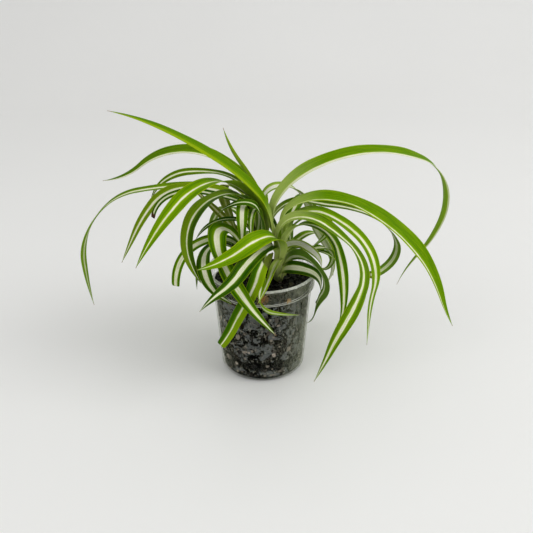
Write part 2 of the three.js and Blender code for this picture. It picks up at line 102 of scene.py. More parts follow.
class Finish:
    """A procedural material in the making. Most methods add one node and return its output."""

    def __init__(self, name, gloss):
        self.material = bpy.data.materials.new(name)
        self.material.use_nodes = True
        self.tree = self.material.node_tree
        self.shader = next(n for n in self.tree.nodes if n.type == "BSDF_PRINCIPLED")
        self.shader.inputs["Specular IOR Level"].default_value = gloss

    def put(self, socket, value):
        """Sets a socket, or joins another node's output to it."""
        if isinstance(value, bpy.types.NodeSocket):
            self.tree.links.new(value, socket)
        else:
            socket.default_value = value

    def show(self, **sockets):
        """Gives the shader its colour, roughness and so on, by name."""
        for name, value in sockets.items():
            self.put(self.shader.inputs[name.replace("_", " ")], value)

    def number(self, name):
        """The piece's own number at each point, such as a place across a blade."""
        node = self.tree.nodes.new("ShaderNodeAttribute")
        node.attribute_name = name
        return node.outputs["Fac"]

    def place(self):
        """Where a point is in the object, in metres."""
        return self.tree.nodes.new("ShaderNodeTexCoord").outputs["Object"]

    def slant(self):
        """How flat the surface is looked along: 0 face on, 1 at its outline."""
        return self.tree.nodes.new("ShaderNodeLayerWeight").outputs["Facing"]

    def part(self, vector, axis):
        """One coordinate of a place."""
        node = self.tree.nodes.new("ShaderNodeSeparateXYZ")
        self.put(node.inputs[0], vector)
        return node.outputs[axis]

    def vector(self, x, y, z):
        """Three numbers as one place."""
        node = self.tree.nodes.new("ShaderNodeCombineXYZ")
        for socket, value in zip(node.inputs, (x, y, z)):
            self.put(socket, value)
        return node.outputs[0]

    def stretch(self, vector, x, y, z):
        """A place with each coordinate multiplied."""
        node = self.tree.nodes.new("ShaderNodeMapping")
        node.inputs["Scale"].default_value = (x, y, z)
        self.put(node.inputs["Vector"], vector)
        return node.outputs[0]

    def maths(self, operation, a, b=0.0, c=0.0, clamp=False):
        """A sum, product or other operation on up to three numbers."""
        node = self.tree.nodes.new("ShaderNodeMath")
        node.operation = operation
        node.use_clamp = clamp
        for socket, value in zip(node.inputs, (a, b, c)):
            self.put(socket, value)
        return node.outputs[0]

    def step(self, value, low, high, bottom=0.0, top=1.0):
        """A soft step from bottom to top as value goes from low to high."""
        node = self.tree.nodes.new("ShaderNodeMapRange")
        node.interpolation_type = "SMOOTHSTEP"
        for name, v in (("Value", value), ("From Min", low), ("From Max", high),
                        ("To Min", bottom), ("To Max", top)):
            self.put(node.inputs[name], v)
        return node.outputs[0]

    def grain(self, vector, scale, detail=4.0, rough=0.55, warp=0.0):
        """Cloudy noise, about 0.3 to 0.7, with that many clouds to a metre."""
        node = self.tree.nodes.new("ShaderNodeTexNoise")
        node.inputs["Scale"].default_value = scale
        node.inputs["Detail"].default_value = detail
        node.inputs["Roughness"].default_value = rough
        node.inputs["Distortion"].default_value = warp
        self.put(node.inputs["Vector"], vector)
        return node.outputs["Fac"]

    def lumps(self, vector, scale):
        """Rounded cells, that many to a metre: 0 at each cell's middle."""
        node = self.tree.nodes.new("ShaderNodeTexVoronoi")
        node.inputs["Scale"].default_value = scale
        self.put(node.inputs["Vector"], vector)
        return node.outputs["Distance"]

    def mix(self, share, a, b):
        """Colour a with a share of colour b in it."""
        node = self.tree.nodes.new("ShaderNodeMix")
        node.data_type = "RGBA"
        self.put(node.inputs["Factor"], share)
        self.put(node.inputs[6], a)
        self.put(node.inputs[7], b)
        return node.outputs[2]

    def relief(self, height, depth):
        """Small relief, depth in metres, joined to the shader's normal."""
        node = self.tree.nodes.new("ShaderNodeBump")
        node.inputs["Distance"].default_value = depth
        self.put(node.inputs["Height"], height)
        self.put(self.shader.inputs["Normal"], node.outputs[0])


def arc(centre, radius, start, end, count):
    """Points on a circle from one angle to another, in degrees: (radius, height) pairs of the
    centre plus radius times cosine and sine."""
    turn = np.radians(np.linspace(start, end, count))
    return np.stack([centre[0] + radius * np.cos(turn), centre[1] + radius * np.sin(turn)], 1)


def turned(profile, sides):
    """Points and faces of a profile of (radius, height) points swept round the upright axis:
    x = radius cos angle, y = radius sin angle. An end on the axis becomes one pole."""
    profile = np.asarray(profile, float)
    turn = np.arange(sides) * 2 * np.pi / sides
    rings = profile[profile[:, 0] > TINY]
    ring_points = np.stack([
        rings[:, :1] * np.cos(turn),
        rings[:, :1] * np.sin(turn),
        np.repeat(rings[:, 1:], sides, 1),
    ], 2).reshape(-1, 3)
    points = [ring_points]
    i, j = np.meshgrid(np.arange(len(rings) - 1), np.arange(sides), indexing="ij")
    after = (j + 1) % sides
    quads = np.stack([i * sides + j, i * sides + after,
                      (i + 1) * sides + after, (i + 1) * sides + j], -1).reshape(-1, 4)
    faces = quads.tolist()
    around = np.arange(sides)
    after = (around + 1) % sides
    if profile[0, 0] <= TINY:
        pole = len(ring_points)
        points.append([[0, 0, profile[0, 1]]])
        faces += np.stack([np.full(sides, pole), after, around], 1).tolist()
    if profile[-1, 0] <= TINY:
        pole = len(ring_points) + len(points) - 1
        points.append([[0, 0, profile[-1, 1]]])
        last = (len(rings) - 1) * sides
        faces += np.stack([np.full(sides, pole), last + around, last + after], 1).tolist()
    return np.concatenate(points), faces


def piece(name, points, faces, material, slot, *nodes, smooth=True, **numbers):
    """A new piece of the plant from points in millimetres, with its finish, the nodes that it
    stands for, and its own numbers at each point. Without a slot it is no part of the plant."""
    mesh = bpy.data.meshes.new(name)
    mesh.from_pydata(np.asarray(points) * MM, [], faces)
    for key, values in numbers.items():
        attribute = mesh.attributes.new(key, "FLOAT", "POINT")
        attribute.data.foreach_set("value", np.asarray(values, np.float32).ravel())
    mesh.polygons.foreach_set("use_smooth", np.full(len(faces), smooth))
    mesh.materials.append(material)
    thing = bpy.data.objects.new(name, mesh)
    bpy.context.scene.collection.objects.link(thing)
    if slot:
        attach(thing, "root")
    if nodes:
        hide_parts(*nodes)
    return thing


foot_centre = (FOOT_RADIUS - FOOT_ROUND, FOOT_ROUND)
inside_top = COLLAR_TOP_RADIUS - WALL
inside_ledge = LEDGE_RADIUS - WALL
points, faces = turned(np.concatenate([
    [(0, 0)],
    # The rounded foot and the wall
    arc(foot_centre, FOOT_ROUND, -90, -4, 9),
    np.linspace((FOOT_RADIUS, FOOT_ROUND + 1), (LEDGE_RADIUS, LEDGE_HEIGHT - 0.4), 18),
    # The ledge and the collar
    arc((LEDGE_RADIUS + EDGE_ROUND, LEDGE_HEIGHT), EDGE_ROUND, 180, 90, 4),
    arc((COLLAR_RADIUS - EDGE_ROUND, LEDGE_HEIGHT + 1), EDGE_ROUND, -90, 0, 4),
    [(COLLAR_RADIUS + 0.2, 61.5), (COLLAR_TOP_RADIUS - 0.05, 65.8)],
    # The rolled rim
    arc((RIM_RADIUS - RIM_FOOT_ROUND, RIM_FOOT + 0.5), RIM_FOOT_ROUND, -100, 0, 5),
    arc((RIM_RADIUS - RIM_ROUND, POT_HEIGHT - RIM_ROUND), RIM_ROUND, 0, 90, 7),
    arc((inside_top + EDGE_ROUND, POT_HEIGHT - EDGE_ROUND), EDGE_ROUND, 100, 190, 6),
    # The inside of the collar, of the wall and of the floor
    [(inside_top, 66), (COLLAR_RADIUS - WALL, LEDGE_HEIGHT + 1.9)],
    [(inside_ledge + 0.1, LEDGE_HEIGHT + 0.7), (inside_ledge, LEDGE_HEIGHT - 0.4)],
    [(FOOT_RADIUS - WALL, FOOT_ROUND + 1)],
    arc(foot_centre, FOOT_ROUND - WALL, -8, -60, 4),
    [(FOOT_RADIUS - FOOT_ROUND - 0.5, FLOOR), (0, FLOOR)],
]), POT_SIDES)

# The plastic is clear, and each mark on it covers a share of what lies behind: mist and scuffs
# all over, streaky mist towards the right that is thickened there as a painted reflection of the
# window, streaks in the collar, and the thicker edges.
MIST_COVER = 0.03
SCUFF_COVER = 0.05
REFLECTION_COVER = 0.28
COLLAR_COVER = 0.11
LEDGE_COVER = 0.6
RIM_COVER = 0.48
SLANT_COVER = (0.15, 0.75)
SLANT_POWER = 3.5
STREAK_GRAIN = 900
SCUFF_GRAIN = 1100
MIST_GRAIN = 110
REFLECTION_FROM, REFLECTION_FULL = 4 * MM, 28 * MM
COLLAR_FROM, COLLAR_FULL = 57.2 * MM, 58.4 * MM
LEDGE_LINE = 58.0 * MM
RIM_FROM, RIM_FULL = 67.6 * MM, 68.2 * MM
CLEAR_TINT = colour(118, 124, 100)
MISTY_TINT = colour(188, 192, 168)
WHITE_MARK = colour(244, 245, 238)
plastic = Finish("clear_plastic", gloss=0.045)
at = plastic.place()
to_right, to_back, height = (plastic.part(at, axis) for axis in range(3))
streaks = plastic.grain(plastic.stretch(at, 1, 1, 0.25), STREAK_GRAIN, 5, 0.7)
scuffs = plastic.grain(plastic.stretch(at, 1, 1, 0.3), SCUFF_GRAIN, 4, 0.6)
mist = plastic.grain(at, MIST_GRAIN, 4, 0.6, 0.4)
haze = plastic.step(mist, 0.42, 0.72, 0.0, MIST_COVER)
haze = plastic.maths("ADD", haze, plastic.step(scuffs, 0.55, 0.75, 0.0, SCUFF_COVER))
# Painted reflection: streaky haze that grows towards the right, where the window is reflected
painted_reflection = plastic.step(to_right, REFLECTION_FROM, REFLECTION_FULL, 0.0, REFLECTION_COVER)
haze = plastic.maths("MULTIPLY_ADD", painted_reflection, plastic.step(streaks, 0.42, 0.62), haze)
collar = plastic.step(height, COLLAR_FROM, COLLAR_FULL)
collar_streaks = plastic.step(streaks, 0.38, 0.66, 0.0, COLLAR_COVER)
haze = plastic.maths("MULTIPLY_ADD", collar, collar_streaks, haze)
off_ledge = plastic.maths("ABSOLUTE", plastic.maths("SUBTRACT", height, LEDGE_LINE))
haze = plastic.maths("ADD", haze, plastic.step(off_ledge, 0.2 * MM, 0.5 * MM, LEDGE_COVER, 0.0))
haze = plastic.maths("ADD", haze, plastic.step(height, RIM_FROM, RIM_FULL, 0.0, RIM_COVER))
tint = plastic.mix(mist, CLEAR_TINT, MISTY_TINT)
tint = plastic.mix(plastic.step(haze, 0.35, 0.55, 0, 0.9), tint, WHITE_MARK)
# Clear plastic covers more where it is looked along, as at the pot's outline
glancing = plastic.maths("MULTIPLY", plastic.maths("POWER", plastic.slant(), SLANT_POWER),
                         plastic.step(streaks, 0.38, 0.62, *SLANT_COVER))
haze = plastic.maths("ADD", haze, glancing, clamp=True)

# Two crusts of dried soil on the front of the collar: for each, how far to the right it lies, its
# height, its reach and its colour
STAIN_COVER = 0.6
STAINS = ((0.2 * MM, 64.0 * MM, 3.0 * MM, colour(168, 110, 24)),
          (15.5 * MM, 60.6 * MM, 1.4 * MM, colour(186, 146, 92)))
in_front = plastic.step(to_back, -4 * MM, -1 * MM, 1.0, 0.0)
ragged = plastic.maths("SUBTRACT", scuffs, 0.5)
for stain_right, stain_height, reach, crust in STAINS:
    off_right = plastic.maths("SUBTRACT", to_right, stain_right)
    off_height = plastic.maths("SUBTRACT", height, stain_height)
    apart = plastic.maths("MULTIPLY_ADD", off_right, off_right,
                          plastic.maths("MULTIPLY", off_height, off_height))
    apart = plastic.maths("MULTIPLY_ADD", ragged, 7 * reach, plastic.maths("SQRT", apart))
    stain = plastic.maths("MULTIPLY", plastic.step(apart, 0.4 * reach, reach, 0.85, 0.0), in_front)
    tint = plastic.mix(stain, tint, crust)
    haze = plastic.maths("MULTIPLY_ADD", stain, STAIN_COVER, haze, clamp=True)
plastic.show(
    Base_Color=tint,
    Roughness=plastic.step(scuffs, 0.3, 0.7, 0.12, 0.32),
    IOR=1.5,
    Alpha=haze,
)
plastic.relief(scuffs, 0.04 * MM)
pot = piece("pot_shell", points, faces, plastic.material, "pot", "pot")

# The drain holes are cut by six round pegs, which are taken away again
cutter_points, cutter_faces = turned(
    [(0, -1), (HOLE_RADIUS, -1), (HOLE_RADIUS, FLOOR + 1), (0, FLOOR + 1)], HOLE_SIDES
)
hole_turn = np.arange(HOLES) * 2 * np.pi / HOLES
hole_places = HOLE_CIRCLE * np.stack([np.cos(hole_turn), np.sin(hole_turn), 0 * hole_turn], 1)
all_cutters = (cutter_points[None] + hole_places[:, None]).reshape(-1, 3)
all_faces = [[v + k * len(cutter_points) for v in f] for k in range(HOLES) for f in cutter_faces]
cutter = piece("cutter", all_cutters, all_faces, plastic.material, None)
cut = pot.modifiers.new("drain_holes", "BOOLEAN")
cut.object = cutter
cut.operation = "DIFFERENCE"
bpy.context.view_layer.update()
pierced = pot.evaluated_get(bpy.context.evaluated_depsgraph_get())
pierced = bpy.data.meshes.new_from_object(pierced)
pot.modifiers.clear()
pot.data = pierced
bpy.data.objects.remove(cutter)

# Potting soil: dark peat with bark and pale grit, pressed into the pot so that it takes the
# pot's shape. Against the wall it is black where it touches, and grey where damp mist lies
# between.
SOIL_CLEAR = 0.3
SOIL_TOP = 60
SOIL_SIDES = 220
CRUMB_HEIGHT = 0.9
WAVES = 14


def waves(points, size, seed):
    """Soft random relief: the sum of sines along random directions, each about size long,
    divided by the root of their number, so that most points get between -1 and 1."""
    rng = np.random.default_rng(seed)
    ways = rng.normal(size=(WAVES, 3))
    ways *= (2 * np.pi / size) / np.linalg.norm(ways, axis=1, keepdims=True)
    starts = rng.uniform(0, 2 * np.pi, WAVES)
    return np.sin(points @ ways.T + starts).sum(1) / math.sqrt(WAVES)


soil_low = FLOOR + SOIL_CLEAR
points, faces = turned(np.concatenate([
    # The bottom and the rounded foot
    [(0, soil_low)],
    np.linspace((5, soil_low), (FOOT_RADIUS - FOOT_ROUND, soil_low), 8),
    arc(foot_centre, FOOT_ROUND - WALL - SOIL_CLEAR, -75, -8, 5),
    # The side, along the wall, and the top
    np.linspace((FOOT_RADIUS - WALL - SOIL_CLEAR, FOOT_ROUND + 1),
                (inside_ledge - SOIL_CLEAR, LEDGE_HEIGHT), 60),
    [(inside_ledge + 0.4, SOIL_TOP - 1)],
    np.linspace((inside_ledge, SOIL_TOP), (1.2, SOIL_TOP), 36),
    [(0, SOIL_TOP)],
]), SOIL_SIDES)
# The relief is a sum of waves of three sizes. It lifts the top by 0.9 mm times its value, and
# the side draws in by 0.35 mm less half its value, between 0 and 0.9 mm.
out = np.linalg.norm(points[:, :2], axis=1)
on_top = points[:, 2] > SOIL_TOP - 0.5
lumpy = waves(points, 9, 4) * 0.5 + waves(points, 4, 5) * 0.35 + waves(points, 2, 6) * 0.25
points[:, 2] += np.where(on_top, CRUMB_HEIGHT * lumpy, 0)
hollow = np.clip(0.35 - 0.5 * lumpy, 0, CRUMB_HEIGHT)
inward = np.where(on_top | (points[:, 2] < 2), 0, hollow)
points[:, :2] *= (1 - inward / np.maximum(out, 1))[:, None]

# Patches of black and grey, then fibres, grit and brown bark in them, each by its own noise
CLUMP_GRAIN = 140
CRUMB_GRAIN = 380
FIBRE_GRAIN = 800
PEBBLE_GRAIN = 260
PEBBLE_PATCH_GRAIN = 150
BARK_GRAIN = 90
BAND_HEIGHT = 14 * MM
BLACK_PEAT = colour(0, 0, 0)
DAMP_GREY = colour(100, 104, 102)
BLACK_CRUMB = colour(1, 1, 1)
PALE_FIBRE = colour(150, 148, 134)
PEBBLE = colour(158, 148, 132)
BROWN_BARK = colour(52, 40, 30)
WET_BLACK = colour(2, 2, 2)
# Painted shade for the soil's top, deep in the pot under the leaves
TOP_BROWN_PAINTED_SHADE = colour(16, 13, 10)
peat = Finish("potting_soil", gloss=0.01)
at = peat.place()
height = peat.part(at, 2)
clumps = peat.grain(at, CLUMP_GRAIN, 4, 0.6, 1.2)
crumbs = peat.grain(at, CRUMB_GRAIN, 5, 0.7, 0.8)
fibres = peat.grain(peat.stretch(at, 1, 1, 0.5), FIBRE_GRAIN, 3, 0.6, 0.3)
body = peat.mix(peat.step(clumps, 0.495, 0.53), BLACK_PEAT, DAMP_GREY)
body = peat.mix(peat.step(crumbs, 0.54, 0.58), body, BLACK_CRUMB)
body = peat.mix(peat.step(fibres, 0.58, 0.66, 0, 0.85), body, PALE_FIBRE)
pebbles = peat.step(peat.lumps(at, PEBBLE_GRAIN), 0.30, 0.20)
pebbles = peat.maths("MULTIPLY", pebbles,
                     peat.step(peat.grain(at, PEBBLE_PATCH_GRAIN, 3), 0.54, 0.62))
more_below = peat.step(height, 20 * MM, 50 * MM, 0.9, 0.35)
body = peat.mix(peat.maths("MULTIPLY", pebbles, more_below), body, PEBBLE)
bark = peat.step(peat.grain(at, BARK_GRAIN, 3, 0.5), 0.56, 0.7, 0, 0.3)
body = peat.mix(bark, body, BROWN_BARK)
# A black band low in the pot, the black bottom, and the top darkened to dark brown as painted
# shade under the leaves
off_band = peat.maths("SUBTRACT", height, BAND_HEIGHT)
off_band = peat.maths("ABSOLUTE", peat.maths("MULTIPLY_ADD", clumps, 6 * MM, off_band))
body = peat.mix(peat.step(off_band, 2 * MM, 4 * MM, 0.9, 0.0), body, WET_BLACK)
body = peat.mix(peat.step(height, 2 * MM, 4.5 * MM, 0.8, 0.0), body, WET_BLACK)
body = peat.mix(peat.step(height, 58 * MM, 60 * MM, 0, 0.75), body, TOP_BROWN_PAINTED_SHADE)
peat.show(Base_Color=body, Roughness=peat.step(fibres, 0.3, 0.7, 0.6, 0.95))
peat.relief(crumbs, 0.9 * MM)
piece("soil_plug", points, faces, peat.material, "soil", "soil")

# Grit: pale perlite, bark and fibre crumbs, mixed into the potting soil, that lie against the
# wall and on top. Each is a rough chip of twenty faces, flattened against the wall or the top.
GRIT_ON_WALL = 300
GRIT_ON_TOP = 160
CHIP_CORNERS = 12
CHIP_SHARE = 0.6
CHIP_THIN = 0.28
CHIP_TO_WALL = 0.36
CHIP_IN_TOP = 0.2
LOWEST_CHIP = 3.5
CHIPS_RISE = 53
TOP_REACH = 29

# A chip is a ball of twelve corners at uneven distances. Its points are its middle plus shares
# of its long way, its wide way and its thin way, which points to the wall or up. Most chips
# are 1 to 4 mm long, and more of those at the wall lie low.
golden = (1 + math.sqrt(5)) / 2
chip = np.array([(-1, golden, 0), (1, golden, 0), (-1, -golden, 0), (1, -golden, 0),
                 (0, -1, golden), (0, 1, golden), (0, -1, -golden), (0, 1, -golden),
                 (golden, 0, -1), (golden, 0, 1), (-golden, 0, -1), (-golden, 0, 1)]) / 1.9
chip_faces = np.array([(0, 11, 5), (0, 5, 1), (0, 1, 7), (0, 7, 10), (0, 10, 11), (1, 5, 9),
                       (5, 11, 4), (11, 10, 2), (10, 7, 6), (7, 1, 8), (3, 9, 4), (3, 4, 2),
                       (3, 2, 6), (3, 6, 8), (3, 8, 9), (4, 9, 5), (2, 4, 11), (6, 2, 10),
                       (8, 6, 7), (9, 8, 1)])
rng = np.random.default_rng(21)
count = GRIT_ON_WALL + GRIT_ON_TOP
on_wall = np.arange(count) < GRIT_ON_WALL
round_at = rng.uniform(0, 2 * np.pi, count)
chip_height = np.where(on_wall, LOWEST_CHIP + CHIPS_RISE * rng.uniform(0, 1, count) ** 1.5,
                       SOIL_TOP)
wall_inside = np.interp(chip_height, [FOOT_ROUND, LEDGE_HEIGHT], [FOOT_RADIUS, LEDGE_RADIUS])
wall_inside = wall_inside - WALL - np.clip(5.0 - chip_height, 0, 2) * 0.6
chip_out = np.where(on_wall, wall_inside - CHIP_TO_WALL,
                    TOP_REACH * np.sqrt(rng.uniform(0.01, 1, count)))
outwards = np.stack([np.cos(round_at), np.sin(round_at), 0 * round_at], 1)
sideways = np.stack([-np.sin(round_at), np.cos(round_at), 0 * round_at], 1)
spin = rng.uniform(0, 2 * np.pi, count)
upright = np.tile([0.0, 0, 1], (count, 1))
thin_way = np.where(on_wall[:, None], outwards, upright)
flat_way = np.where(on_wall[:, None], upright, outwards)
long_way = np.cos(spin)[:, None] * sideways + np.sin(spin)[:, None] * flat_way
wide_way = np.cross(thin_way, long_way)
length = rng.gamma(3.0, 0.42, count) + 0.5
width = length * rng.uniform(0.4, 0.9, count)
middle = outwards * chip_out[:, None] + upright * chip_height[:, None]
middle[:, 2] += np.where(on_wall, 0, CHIP_IN_TOP)
rough_chip = chip[None] * rng.uniform(0.75, 1.2, (count, CHIP_CORNERS, 1))
grit_points = (
    middle[:, None]
    + rough_chip[:, :, :1] * (long_way * length[:, None] * CHIP_SHARE)[:, None]
    + rough_chip[:, :, 1:2] * (wide_way * width[:, None] * CHIP_SHARE)[:, None]
    + rough_chip[:, :, 2:] * (thin_way * CHIP_THIN)[:, None]
).reshape(-1, 3)
grit_faces = chip_faces[None] + CHIP_CORNERS * np.arange(count)[:, None, None]
kind = np.repeat(rng.uniform(0, 1, count), CHIP_CORNERS)

# By kind: black bark, grey fibre, tan grit and a few whitish chips of perlite, with dirt in
# specks on all of them, and painted shade that darkens those on top of the soil
BLACK_BARK = colour(30, 26, 22)
GREY_FIBRE = colour(88, 82, 74)
TAN_GRIT = colour(146, 136, 122)
PERLITE = colour(196, 184, 168)
DIRT = colour(46, 42, 38)
TOP_GRIT_PAINTED_SHADE = colour(30, 24, 19)
SPECK_GRAIN = 1100
DULL_GRAIN = 900
PORE_GRAIN = 1800
grit = Finish("grit", gloss=0.15)
at = grit.place()
which = grit.number("kind")
tint = grit.mix(grit.step(which, 0.28, 0.34), BLACK_BARK, GREY_FIBRE)
tint = grit.mix(grit.step(which, 0.60, 0.66), tint, TAN_GRIT)
tint = grit.mix(grit.step(which, 0.92, 0.94), tint, PERLITE)
tint = grit.mix(grit.step(grit.grain(at, SPECK_GRAIN, 3), 0.42, 0.62, 0, 0.6), tint, DIRT)
# Painted shade: chips on the soil's top, deep in the pot under the leaves, are darkened
painted_shade_on_top = grit.step(grit.part(at, 2), 58 * MM, 60 * MM, 0, 0.6)
tint = grit.mix(painted_shade_on_top, tint, TOP_GRIT_PAINTED_SHADE)
dull = grit.step(grit.grain(at, DULL_GRAIN, 3), 0.3, 0.7, 0.7, 0.95)
grit.show(Base_Color=tint, Roughness=dull)
grit.relief(grit.grain(at, PORE_GRAIN, 3), 0.3 * MM)
piece("soil_grit", grit_points, grit_faces.reshape(-1, 3).tolist(), grit.material, "soil",
      smooth=False, kind=kind)

# Crowns: short stems hidden under clasping leaf bases, pale and striped with green, which
# overlap round the stem like the layers of a leek and stand in the soil. Dry brown scales
# cling to them, and a painted shade darkens them towards the foot.
CROWN_FOOT = 46
CROWN_RADIUS = 2.7
CROWN_ROWS = 70
CROWN_SIDES = 48
SHEATHS = 5
SHEATH_WINDING = 0.035
SHEATH_EDGE = 0.12
SHEATH_STEP = 0.35


def crown_shape(at_x, at_y, top, tip, seed):
    """Points, faces and the place round the stem of a bundle of clasping sheaths. The radius
    goes from 2.7 mm to the tip's, plus a saw tooth of 0.35 mm that climbs at each sheath's edge
    and falls off round the sheath; the edges wind as they rise."""
    rise = np.linspace(0, 1, CROWN_ROWS)
    tall = top - CROWN_FOOT
    radius = np.interp(rise * tall, [0, 0.45 * tall, 0.8 * tall, tall - 1.5, tall - 0.4, tall],
                       [CROWN_RADIUS, CROWN_RADIUS, (CROWN_RADIUS + tip) / 2, tip, 0.6 * tip, 0.1])
    profile = np.stack([radius, CROWN_FOOT + rise * tall], 1)
    points, faces = turned(np.vstack([[(0, CROWN_FOOT)], profile, [(0, top)]]), CROWN_SIDES)
    turn = np.arctan2(points[:, 1], points[:, 0])
    wound = turn * SHEATHS / (2 * np.pi) + (points[:, 2] - CROWN_FOOT) * SHEATH_WINDING
    wound = (wound + seed * 0.37) % 1
    sheath = np.where(wound < SHEATH_EDGE, wound / SHEATH_EDGE, (1 - wound) / (1 - SHEATH_EDGE))
    out = np.maximum(np.linalg.norm(points[:, :2], axis=1), 0.01)
    grown = 1 + SHEATH_STEP * (sheath - 0.4) / np.maximum(out, 1.0)
    points[:, :2] *= np.where(out > 0.3, grown, 1)[:, None]
    points[:, :2] += (at_x, at_y)
    return points, faces, wound


# Lines run up the pale sheaths, which turn green towards the top; over them lie the dry scales,
# the green edge of each sheath and a painted shade at the foot
PALE_SHEATH = colour(234, 240, 180)
SHEATH_LINE = colour(190, 214, 96)
GREEN_TOP = colour(164, 198, 60)
DRY_SCALE = colour(112, 74, 40)
GREEN_EDGE = colour(70, 104, 14)
PAINTED_SHADE_FOOT = colour(52, 58, 18)
SHEATH_LINES = 9
LINE_GRAIN = 6
SCALE_GRAIN = 260
sheathing = Finish("leaf_sheaths", gloss=0.12)
at = sheathing.place()
wound = sheathing.number("wound")
height = sheathing.part(at, 2)
lines = sheathing.vector(sheathing.maths("MULTIPLY", wound, SHEATH_LINES), height, 0.0)
lines = sheathing.grain(lines, LINE_GRAIN, 3)
base = sheathing.mix(sheathing.step(lines, 0.42, 0.6), PALE_SHEATH, SHEATH_LINE)
base = sheathing.mix(sheathing.step(height, 74 * MM, 92 * MM), base, GREEN_TOP)
scales = sheathing.step(sheathing.grain(at, SCALE_GRAIN, 4, 0.6), 0.60, 0.70, 0, 0.7)
base = sheathing.mix(scales, base, DRY_SCALE)
base = sheathing.mix(sheathing.step(wound, 0.93, 1.0, 0, 0.6), base, GREEN_EDGE)
# Painted shade: the sheaths darken below 72 mm, down to the soil
base = sheathing.mix(sheathing.step(height, 60 * MM, 72 * MM, 0.9, 0.0), base, PAINTED_SHADE_FOOT)
sheathing.show(Base_Color=base, Roughness=sheathing.step(lines, 0.3, 0.7, 0.36, 0.55))
sheathing.relief(lines, 0.2 * MM)
# Where each crown stands, the height of its top and the radius of its tip, in millimetres
CROWNS = {
    "main": (10, 0, 95, 1.6),
    "left": (0, 9, 94, 2.4),
    "fore": (-1.5, -0.5, 88, 1.6),
    "low": (0, -12.5, 74, 1.6),
    "back": (12, 12, 86, 2.4),
}
for seed, (name, crown) in enumerate(CROWNS.items()):
    points, faces, wound = crown_shape(*crown, seed)
    piece("sheaths_" + name, points, faces, sheathing.material, "crown", "crown_" + name,
          wound=wound)

# Leaves of the main crown: long straps, each grown in one piece out of the crown's sheaths. A
# blade is folded along its midrib, thins to its margins, and carries a cream stripe between
# fine green veins.
ROOT_ROWS = 12
ROOT_DEPTH = 13.0
ROOT_OUT = 2.1
ROOT_STIFFNESS = 0.6
BLADE_ROWS = 96
HALF_COLUMNS = 17
BLADE_MIDDLE = 0.5
BLADE_MARGIN = 0.2
THIN_TIP = 0.35
THICKENS_OVER = 1.2
WIDTH_GROWS = 0.62
FULL_FROM = 0.28
TAPER_FROM = 0.5
TAPER_POWER = 1.7
CUT_TAPER = 0.35
CUT_ROUND = 1.2
CUT_DRAWN_IN = 0.18
NARROWEST = 0.3
FOLD_AT_ROOT = 0.3
FOLD_AT_TIP = 0.06
FOLD_POWER = 1.2
CLASP = 0.9
CLASP_LENGTH = 9
VEE_ROUND = 0.03
RIPPLE = 0.0625
SHORT_RIPPLE = 7.3
LONG_RIPPLE = 17


def blade_line(crown, side, out, up, length, rise, turn, roll):
    """Middle line of a leaf, as places, ways along, across and up, and the share of the length.
    The way along is (cos rise cos turn, cos rise sin turn, sin rise), added up step by step from
    the crown; rise, turn and roll change evenly between the values listed. Below its start the
    line curves down into the crown, as a cubic that leaves upright and arrives along the leaf."""
    share = np.linspace(0, 1, BLADE_ROWS + 1)

    def bend(values, s):
        return np.radians(np.interp(s, np.linspace(0, 1, len(values)), values))

    def ahead(s):
        r, t = bend(rise, s), bend(turn, s)
        return np.stack([np.cos(r) * np.cos(t), np.cos(r) * np.sin(t), np.sin(r)], 1)

    steps = ahead((share[1:] + share[:-1]) / 2) * length / BLADE_ROWS
    away = np.array([math.cos(math.radians(side)), math.sin(math.radians(side)), 0])
    axis = np.array([crown[0], crown[1], up])
    places = axis + out * away + np.vstack([np.zeros(3), np.cumsum(steps, 0)])
    way = ahead(share)
    t, r = bend(turn, share), bend(roll, share)
    level = np.stack([-np.sin(t), np.cos(t), 0 * t], 1)
    across = level * np.cos(r)[:, None] + np.cross(way, level) * np.sin(r)[:, None]

    k = np.linspace(0, 1, ROOT_ROWS + 1)[:-1, None]
    start = axis + ROOT_OUT * away - (0, 0, ROOT_DEPTH)
    gap = np.linalg.norm(places[0] - start)
    lead_in, lead_out = np.array([0, 0, gap]), way[0] * gap * ROOT_STIFFNESS
    root = ((2 * k**3 - 3 * k**2 + 1) * start + (k**3 - 2 * k**2 + k) * lead_in
            + (-2 * k**3 + 3 * k**2) * places[0] + (k**3 - k**2) * lead_out)
    root_way = np.gradient(np.vstack([root, places[:1]]), axis=0)[:-1]
    tangent = np.array([-away[1], away[0], 0])
    root_across = tangent * (1 - k) + across[0] * k
    way = np.vstack([root_way, way])
    way /= np.linalg.norm(way, axis=1, keepdims=True)
    across = np.vstack([root_across, across])
    across -= way * (across * way).sum(1, keepdims=True)
    across /= np.maximum(np.linalg.norm(across, axis=1, keepdims=True), TINY)
    share = np.concatenate([-(1 - k[:, 0]) * gap / length, share])
    return np.vstack([root, places]), way, across, np.cross(way, across), share


def blade_width(width, share, cut):
    """Width along a leaf: 0.38 of the full width at the root, full from 0.28 of the length on,
    and drawn in over the last half to a point or, on a cut leaf, to about two thirds."""
    s = np.maximum(share, 0)
    grown = 1 - WIDTH_GROWS * np.maximum(0, 1 - s / FULL_FROM) ** 2
    q = np.maximum(0, (s - TAPER_FROM) / (1 - TAPER_FROM))
    taper = 1 - CUT_TAPER * q**2 if cut else 1 - q**TAPER_POWER
    return np.maximum(width * grown * taper, NARROWEST)


